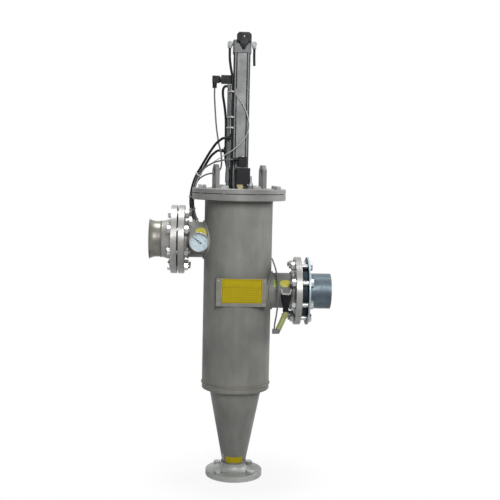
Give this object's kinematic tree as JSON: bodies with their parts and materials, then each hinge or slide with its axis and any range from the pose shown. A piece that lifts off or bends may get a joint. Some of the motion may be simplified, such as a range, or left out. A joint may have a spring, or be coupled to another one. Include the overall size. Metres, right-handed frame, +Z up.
{
  "type": "coarse filter",
  "caption": "Self-cleaning coarse filter: upright vessel with a slotted screen, side inlet and outlet flanges, bottom drain, and an air cylinder driving a scraper.",
  "frame": {"origin": "centre of the drain flange's bottom face, on the vessel axis", "axes": "+Z up the vessel axis, +X out of the outlet, -Y out of the front with the name plate"},
  "size_m": [0.587, 0.3516, 1.43],
  "materials": {
    "vessel_steel": "bead-blasted stainless, soft sheen",
    "flange_steel": "turned stainless",
    "lid_steel": "blasted stainless plate",
    "screw_steel": "bright stainless fasteners",
    "plant_steel": "dark plant flange",
    "plant_pipe": "dull bluish pipe",
    "ring_steel": "turned ring, pale",
    "gasket": "dark flat gasket",
    "screen_steel": "clean stainless",
    "lip_plastic": "pale wear-resistant plastic",
    "rod_chrome": "hard-chromed",
    "cylinder_aluminium": "anodised",
    "tube_aluminium": "anodised extrusion",
    "fitting_plastic": "pale push-in fittings",
    "fitting_metal": "plated fittings",
    "riser_grey": "grey tube",
    "black_plastic": "black moulded plastic",
    "hose_black": "black hose",
    "lead_grey": "grey lead",
    "lead_pale": "pale thin lead",
    "tie_white": "natural nylon",
    "valve_brass": "forged brass",
    "gauge_steel": "polished case",
    "dial_white": "printed dial",
    "needle_black": "black pointer",
    "gauge_glass": "clear window",
    "lever_steel": "bright lever",
    "holder_steel": "folded stainless sheet",
    "plate_yellow": "plain yellow plate",
    "box_grey": "grey moulded box"
  },
  "bodies": {
    "base": {"air_hoses": "hose_black", "body_flange": "flange_steel", "box_bracket": "holder_steel", "cable_ties": "tie_white", "check_ring": "ring_steel", "cylinder_flange": "cylinder_aluminium", "cylinder_front_cap": "cylinder_aluminium", "cylinder_rear_cap": "cylinder_aluminium", "cylinder_studs": "screw_steel", "cylinder_tube": "tube_aluminium", "discharge_cone": "vessel_steel", "drain_flange": "flange_steel", "drain_screws": "screw_steel", "end_ring": "vessel_steel", "end_switch": "black_plastic", "filter_screen": "screen_steel", "gauge_case": "gauge_steel", "gauge_dial": "dial_white", "gauge_window": "gauge_glass", "hose_unions": "black_plastic", "inlet_counter_flange": "flange_steel", "inlet_flange": "flange_steel", "inlet_nozzle": "vessel_steel", "inlet_pipe_stub": "flange_steel", "lid_gasket": "gasket", "lid_plate": "lid_steel", "lid_screws": "screw_steel", "lifting_lugs": "lid_steel", "name_plate": "plate_yellow", "outlet_counter_flange": "plant_steel", "outlet_flange": "flange_steel", "outlet_nozzle": "vessel_steel", "outlet_pipe_stub": "plant_pipe", "pipe_gaskets": "gasket", "pipe_screws": "screw_steel", "plate_holder": "holder_steel", "port_elbows": "fitting_plastic", "pressure_sensor": "gauge_steel", "reed_switch": "black_plastic", "riser_fittings": "fitting_metal", "riser_tube": "riser_grey", "rod_gland": "lid_steel", "sample_cock": "black_plastic", "screen_seat": "vessel_steel", "sensor_connector": "black_plastic", "sensor_plug": "black_plastic", "signal_leads": "lead_grey", "stroke_sensor": "black_plastic", "terminal_box": "box_grey", "thin_lead": "lead_pale", "vent_coil": "black_plastic", "vent_plug": "black_plastic", "vent_valve": "valve_brass", "vessel_shell": "vessel_steel"},
    "scraper": {"piston_rod": "rod_chrome", "scraper_carrier": "screen_steel", "scraper_lips": "lip_plastic"},
    "needle": {"gauge_needle": "needle_black"},
    "lever": {"cock_lever": "lever_steel"},
    "flap": {"check_flap": "ring_steel"}
  },
  "joints": [
    {"name": "scraper_slide", "type": "slide", "parent": "base", "child": "scraper", "axis": [0, 0, -1], "range_m": [0, 0.32]},
    {"name": "needle_turn", "type": "hinge", "parent": "base", "child": "needle", "pos_m": [-0.1253, -0.094, 0.7724], "axis": [0, -1, 0], "range_deg": [-186, 84]},
    {"name": "lever_turn", "type": "hinge", "parent": "base", "child": "lever", "pos_m": [0.15, -0.112, 0.614], "axis": [0, 0, 1], "range_deg": [0, 90]},
    {"name": "flap_swing", "type": "hinge", "parent": "base", "child": "flap", "pos_m": [0.2182, 0, 0.65855], "axis": [0, -1, 0], "range_deg": [0, 60]}
  ]
}
